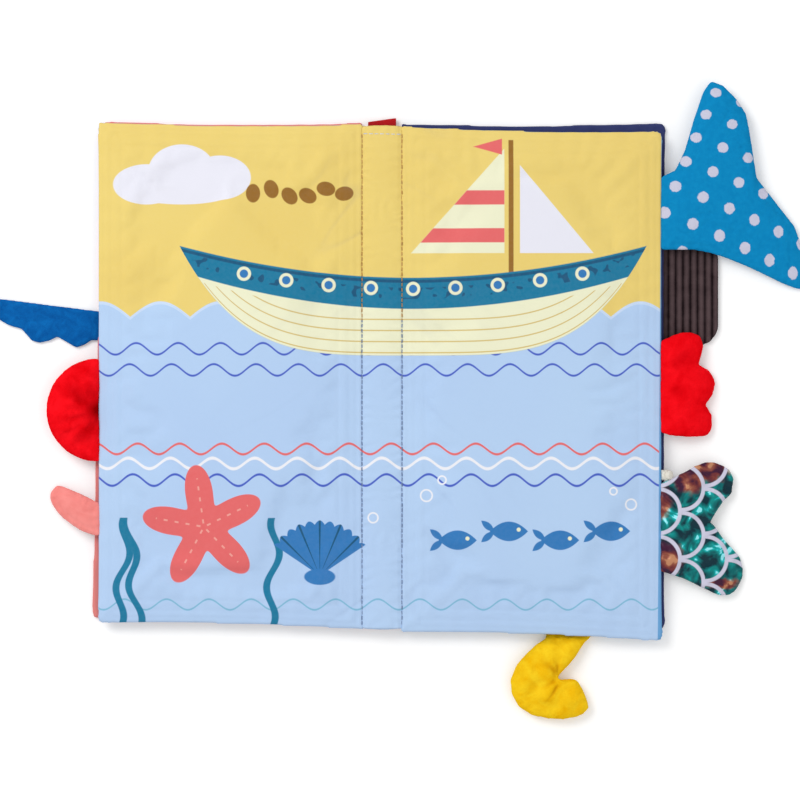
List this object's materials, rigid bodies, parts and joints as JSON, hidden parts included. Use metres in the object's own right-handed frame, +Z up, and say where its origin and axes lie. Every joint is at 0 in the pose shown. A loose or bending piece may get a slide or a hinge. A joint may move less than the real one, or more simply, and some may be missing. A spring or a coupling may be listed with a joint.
{
  "type": "cloth tail book",
  "caption": "Soft cloth picture book lying open, with padded leaves that turn on a sewn spine and tails of varied cloths that flap at their edges.",
  "frame": {"origin": "middle of the spine's flat underside, on the table", "axes": "+X right across the open spread, +Y up the page, +Z up from the table"},
  "size_m": [0.3717, 0.2842, 0.0127],
  "materials": {
    "printed_canvas": "printed cotton canvas",
    "sky_canvas": "printed cotton canvas",
    "yellow_canvas": "printed cotton canvas",
    "coral_canvas": "printed cotton canvas",
    "navy_canvas": "printed cotton canvas",
    "wadding": "loose polyester wadding",
    "crinkle_film": "thin crackling film",
    "spotted_cloth": "brushed cloth with pale dots",
    "brown_corduroy": "ribbed corduroy",
    "red_plush": "short plush pile",
    "foil_cloth": "printed foil on knit",
    "blue_felt": "pressed felt",
    "coral_satin": "satin weave",
    "yellow_plush": "short plush pile",
    "white_cord": "twisted cord",
    "red_ribbon": "satin ribbon"
  },
  "bodies": {
    "spine": {"spine_outer_strip": "coral_canvas", "spine_pad": "wadding", "spine_inner_strip": "printed_canvas"},
    "ribbon": {"ribbon_loop": "red_ribbon"},
    "page_left": {"page_left_front": "printed_canvas", "page_left_film": "crinkle_film", "page_left_wadding": "wadding", "page_left_back": "sky_canvas"},
    "cover_left": {"cover_left_front": "yellow_canvas", "cover_left_film": "crinkle_film", "cover_left_wadding": "wadding", "cover_left_back": "coral_canvas"},
    "page_right": {"page_right_front": "printed_canvas", "page_right_film": "crinkle_film", "page_right_wadding": "wadding", "page_right_back": "sky_canvas", "cord_end": "white_cord"},
    "cover_right": {"cover_right_front": "sky_canvas", "cover_right_film": "crinkle_film", "cover_right_wadding": "wadding", "cover_right_back": "navy_canvas"},
    "curl": {"curled_tail": "red_plush"},
    "satin_tail": {"satin_tail_front": "coral_satin", "satin_tail_back": "coral_satin"},
    "felt_fin": {"felt_fin_tail": "blue_felt"},
    "fluke": {"fluke_tail_front": "spotted_cloth", "fluke_tail_back": "spotted_cloth", "fluke_tail_wadding": "wadding"},
    "lobed_tail": {"lobed_tail_front": "red_plush", "lobed_tail_back": "red_plush"},
    "foil_tail": {"foil_tail_front": "foil_cloth", "foil_tail_back": "foil_cloth"},
    "corduroy_tail": {"corduroy_tail_front": "brown_corduroy", "corduroy_tail_back": "brown_corduroy"},
    "hook": {"hooked_tail": "yellow_plush"}
  },
  "joints": [
    {"name": "page_left_turn", "type": "hinge", "parent": "spine", "child": "page_left", "pos_m": [-0.009, 0, 0.0105], "axis": [0, 1, 0], "range_deg": [0, 170]},
    {"name": "page_right_turn", "type": "hinge", "parent": "spine", "child": "page_right", "pos_m": [0.009, 0, 0.0105], "axis": [0, 1, 0], "range_deg": [-170, 0]},
    {"name": "cover_left_turn", "type": "hinge", "parent": "page_left", "child": "cover_left", "pos_m": [-0.009, 0, -0.0005], "axis": [0, 1, 0], "range_deg": [-170, 0]},
    {"name": "cover_right_turn", "type": "hinge", "parent": "page_right", "child": "cover_right", "pos_m": [0.009, 0, -0.0005], "axis": [0, 1, 0], "range_deg": [0, 170]},
    {"name": "curl_flap", "type": "hinge", "parent": "page_left", "child": "curl", "pos_m": [-0.12909, -0.0135, 0.0065], "axis": [0, -1, 0], "range_deg": [-35, 20]},
    {"name": "satin_tail_flap", "type": "hinge", "parent": "page_left", "child": "satin_tail", "pos_m": [-0.12909, -0.063, 0.0065], "axis": [0, -1, 0], "range_deg": [-35, 35]},
    {"name": "felt_fin_flap", "type": "hinge", "parent": "cover_left", "child": "felt_fin", "pos_m": [-0.12984, 0.0245, 0.0012], "axis": [0, -1, 0], "range_deg": [-35, 35]},
    {"name": "fluke_flap", "type": "hinge", "parent": "page_right", "child": "fluke", "pos_m": [0.12745, 0.075, 0.0065], "axis": [0, -1, 0], "range_deg": [0, 35]},
    {"name": "lobed_tail_flap", "type": "hinge", "parent": "page_right", "child": "lobed_tail", "pos_m": [0.12745, -0.003, 0.0065], "axis": [0, -1, 0], "range_deg": [0, 35]},
    {"name": "foil_tail_flap", "type": "hinge", "parent": "page_right", "child": "foil_tail", "pos_m": [0.12745, -0.066, 0.0065], "axis": [0, -1, 0], "range_deg": [-35, 35]},
    {"name": "corduroy_tail_flap", "type": "hinge", "parent": "cover_right", "child": "corduroy_tail", "pos_m": [0.13054, 0.0395, 0.0012], "axis": [0, -1, 0], "range_deg": [-35, 0]},
    {"name": "hook_flap", "type": "hinge", "parent": "cover_right", "child": "hook", "pos_m": [0.0855, -0.11305, 0.0012], "axis": [-1, 0, 0], "range_deg": [-35, 20]},
    {"name": "ribbon_flap", "type": "hinge", "parent": "spine", "child": "ribbon", "pos_m": [0, 0.1155, 0.00205], "axis": [1, 0, 0], "range_deg": [-30, 30]}
  ]
}
